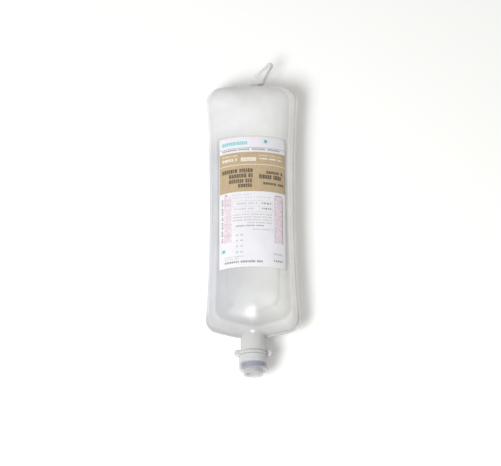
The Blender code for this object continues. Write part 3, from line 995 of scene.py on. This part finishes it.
    # The foot: a teal square, rows of small bars and a bolder row
    field("pale_teal_ink", 1.6, 100.2, 4.2, 4.4)
    field("deep_teal_ink", 2.8, 101.4, 1.8, 2.0, 1)
    bars("pale_grey_ink", 4.6, 107.6, 16.0, 1.0, pitch=1.2)
    bars("pale_grey_ink", 4.6, 109.6, 12.0, 0.9, pitch=1.2)
    bars("grey_ink", 4.6, 112.0, 31.8, 1.8, pitch=1.7, gap=0.3, word=7)
    bars("pale_grey_ink", 45.2, 104.8, 7.4, 1.5, pitch=1.4)
    bars("grey_ink", 45.2, 110.6, 7.2, 1.7, pitch=1.4, gap=0.5)
    made = new_object("label_print", shape, sharp=60)
    for material in materials:
        made.data.materials.append(material)
    return made


def dress():
    """Every piece, on its body and in the place of its CAD node."""
    placed = [
        (blown_shell(shell_plastic()), "bag", "container", "clear_polyethylene"),
        (saline_filling(saline()), "bag", "fluid", "saline"),
        (cap_moulding(cap_plastic()), "bag", "port_cap", "cap_polyethylene"),
        (rubber_disc(rubber()), "bag", "rubber_stopper", "grey_rubber"),
        (hanging_strap(strap_plastic()), "hanger", "hanger_loop", "strap_polyethylene"),
        (label_sheet(ink("label_film", (0.69, 0.68, 0.725), (0.72, 0.71, 0.75), 0.36, 60)),
         "bag", "label", "label_film"),
    ]
    for piece, body, node, slot in placed:
        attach(piece, body)
        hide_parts(node)
    printed = label_print([ink(name, *tones) for name, tones in INKS.items()])
    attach(printed, "bag")


# The floor, the light and the camera


def seen_directly(tree):
    """1 for rays that should see the white background: camera, mirror and see-through rays."""
    path = add_node(tree, "LightPath")
    glossy = math_value(tree, "MAXIMUM", path.outputs["Is Camera Ray"], path.outputs["Is Glossy Ray"])
    return math_value(tree, "MAXIMUM", glossy, path.outputs["Is Transmission Ray"])


FLOOR_COLOUR = (0.80, 0.80, 0.795)
FLOOR_LIFT = 0.17
WORLD_LIGHT = 0.50
WORLD_TINT = (1.0, 0.98, 0.94)


def lay_floor():
    """A plain pale floor that looks white where the object casts no shade."""
    shape = bmesh.new()
    bmesh.ops.create_grid(shape, x_segments=1, y_segments=1, size=3)
    floor = new_object("floor", shape)
    floor.location.z = -GAP
    material, tree, shader = new_material("floor")
    shader.inputs["Base Color"].default_value = (*FLOOR_COLOUR, 1)
    shader.inputs["Roughness"].default_value = 0.9
    shader.inputs["Specular IOR Level"].default_value = 0.0
    shader.inputs["Emission Color"].default_value = (*FLOOR_COLOUR, 1)
    lift = math_value(tree, "MULTIPLY", seen_directly(tree), FLOOR_LIFT)
    tree.links.new(lift, shader.inputs["Emission Strength"])
    floor.data.materials.append(material)


def light_world():
    """Even light from all round, behind which the background is seen as plain white."""
    world = bpy.data.worlds.new("studio")
    world.use_nodes = True
    bpy.context.scene.world = world
    tree = world.node_tree
    background = tree.nodes["Background"]
    direct = seen_directly(tree)
    tree.links.new(mixed_colour(tree, direct, WORLD_TINT, (1.0, 1.0, 1.0)), background.inputs["Color"])
    strength = math_value(tree, "MULTIPLY", direct, 1 - WORLD_LIGHT)
    tree.links.new(math_value(tree, "ADD", strength, WORLD_LIGHT), background.inputs["Strength"])


def soft_lamp(name, place, size, power, colour=(1, 1, 1)):
    """A flat lamp that faces the origin."""
    lamp = bpy.data.lights.new(name, "AREA")
    lamp.shape = "RECTANGLE"
    lamp.size, lamp.size_y = size
    lamp.energy = power
    lamp.color = colour
    holder = bpy.data.objects.new(name, lamp)
    bpy.context.collection.objects.link(holder)
    holder.location = place
    holder.rotation_mode = "QUATERNION"
    holder.rotation_quaternion = (-Vector(place)).to_track_quat("-Z", "Y")
    return holder


def light_studio():
    """The world's light, a key that gives no gloss and a panel that gives nothing else."""
    light_world()
    key = soft_lamp("key", (-0.52, -0.70, 1.12), (0.5, 0.5), 18.8, (0.99, 1.0, 1.0))
    key.visible_glossy = False
    panel = soft_lamp("panel", (-0.12, -0.70, 1.0), (0.38, 0.50), 11.5)
    panel.visible_diffuse = False


# The photograph is 501 by 466; a real 0.84 mm covers one of its pixels at the object's middle
PICTURE_WIDTH = 501
PIXEL_SIZE = 0.00084
CAMERA_DISTANCE = 1.68
CAMERA_ELEVATION = math.radians(68)
CAMERA_ROLL = math.radians(-0.28)
SENSOR_WIDTH = 36
AIM = Vector((-0.0018, -0.0175, 0.0225))


def set_camera():
    """The photograph's view, from above the neck end."""
    data = bpy.data.cameras.new("camera")
    data.sensor_width = SENSOR_WIDTH
    data.lens = SENSOR_WIDTH * CAMERA_DISTANCE / (PICTURE_WIDTH * PIXEL_SIZE)
    camera = bpy.data.objects.new("camera", data)
    bpy.context.collection.objects.link(camera)
    back = Vector((0, -math.cos(CAMERA_ELEVATION), math.sin(CAMERA_ELEVATION)))
    camera.location = AIM + back * CAMERA_DISTANCE
    camera.rotation_mode = "QUATERNION"
    roll = Matrix.Rotation(CAMERA_ROLL, 3, "Z").to_quaternion()
    camera.rotation_quaternion = (-back).to_track_quat("-Z", "Y") @ roll
    bpy.context.scene.camera = camera
    bpy.context.scene.view_settings.view_transform = "Standard"


set_camera()
light_studio()
lay_floor()
dress()
